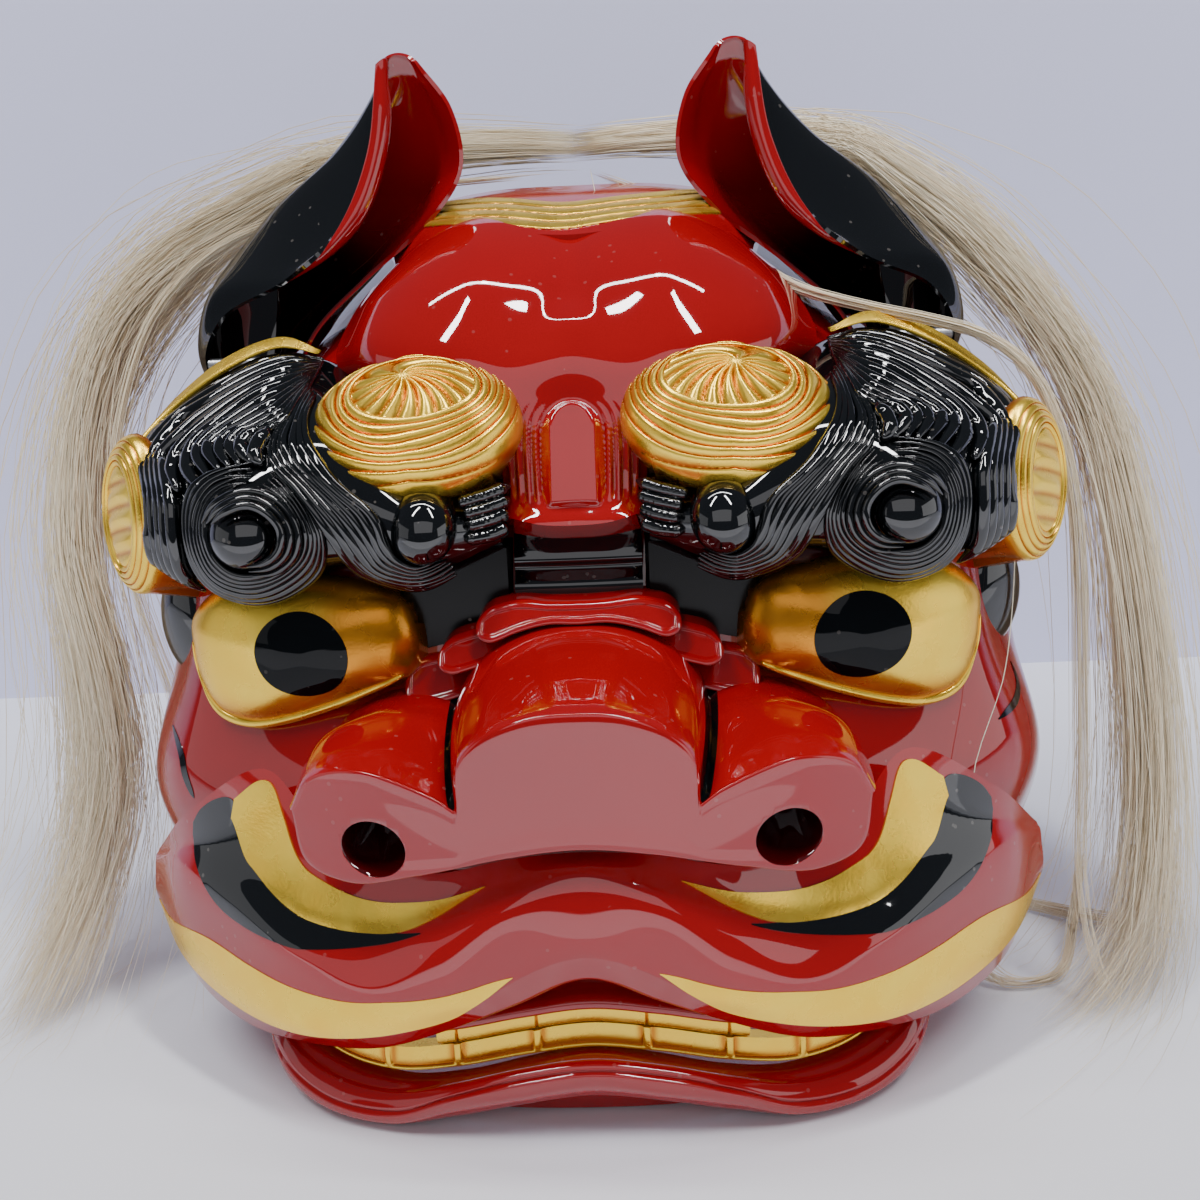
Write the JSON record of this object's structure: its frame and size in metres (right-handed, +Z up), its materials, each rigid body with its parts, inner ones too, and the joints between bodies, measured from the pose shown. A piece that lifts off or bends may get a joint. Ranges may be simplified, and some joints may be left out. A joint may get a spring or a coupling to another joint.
{
  "type": "lion dance head",
  "caption": "Hollow carved and lacquered lion mask head, open at the back, with a hinged jaw, hinged ears and a horse hair mane, standing on its jaw",
  "frame": {"origin": "on the flat underside of the jaw, on the centre plane, level with the ears", "axes": "+Z up, the face looks towards -Y, +X is the viewer's right"},
  "size_m": [0.48, 0.2744, 0.3542],
  "materials": {
    "red_lacquer": "glossy red lacquer on carved wood",
    "black_lacquer": "glossy black lacquer on carved wood",
    "gilt": "gold leaf on carved wood",
    "horse_hair": "long cream horse hair",
    "pin_steel": "plain steel rod"
  },
  "bodies": {
    "jaw": {"jaw": "red_lacquer", "lower_teeth": "gilt", "jaw_pin": "pin_steel"},
    "head": {"head_shell": "red_lacquer", "forehead": "red_lacquer", "hairline_band": "gilt", "root_band": "black_lacquer", "root_ridge": "red_lacquer", "nose": "red_lacquer", "upper_lip": "red_lacquer", "gum": "red_lacquer", "upper_teeth": "gilt", "mane_crown": "horse_hair", "brow_left": "black_lacquer", "brow_right": "black_lacquer", "brow_rim_left": "gilt", "brow_rim_right": "gilt", "brow_curl_left": "gilt", "brow_curl_right": "gilt", "side_curl_left": "gilt", "side_curl_right": "gilt", "side_lobe_left": "black_lacquer", "side_lobe_right": "black_lacquer", "eye_left": "gilt", "eye_right": "gilt", "pupil_left": "black_lacquer", "pupil_right": "black_lacquer", "lower_lid_left": "gilt", "lower_lid_right": "gilt", "eye_panel_left": "black_lacquer", "eye_panel_right": "black_lacquer", "lip_band_left": "gilt", "lip_band_right": "gilt", "wing_band_left": "gilt", "wing_band_right": "gilt", "flare_left": "black_lacquer", "flare_right": "black_lacquer", "ear_pin_left": "pin_steel", "ear_pin_right": "pin_steel", "mane_left": "horse_hair", "mane_right": "horse_hair"},
    "left_ear": {"ear_left": "black_lacquer"},
    "right_ear": {"ear_right": "black_lacquer"}
  },
  "joints": [
    {"name": "jaw_hinge", "type": "hinge", "parent": "jaw", "child": "head", "pos_m": [0, 0.062, 0.074], "axis": [-1, 0, 0], "range_deg": [0, 25]},
    {"name": "left_ear_hinge", "type": "hinge", "parent": "head", "child": "left_ear", "pos_m": [-0.126, -0.0045, 0.2445], "axis": [1, 0, 0], "range_deg": [0, 12]},
    {"name": "right_ear_hinge", "type": "hinge", "parent": "head", "child": "right_ear", "pos_m": [0.126, -0.0045, 0.2445], "axis": [1, 0, 0], "range_deg": [0, 12]}
  ]
}
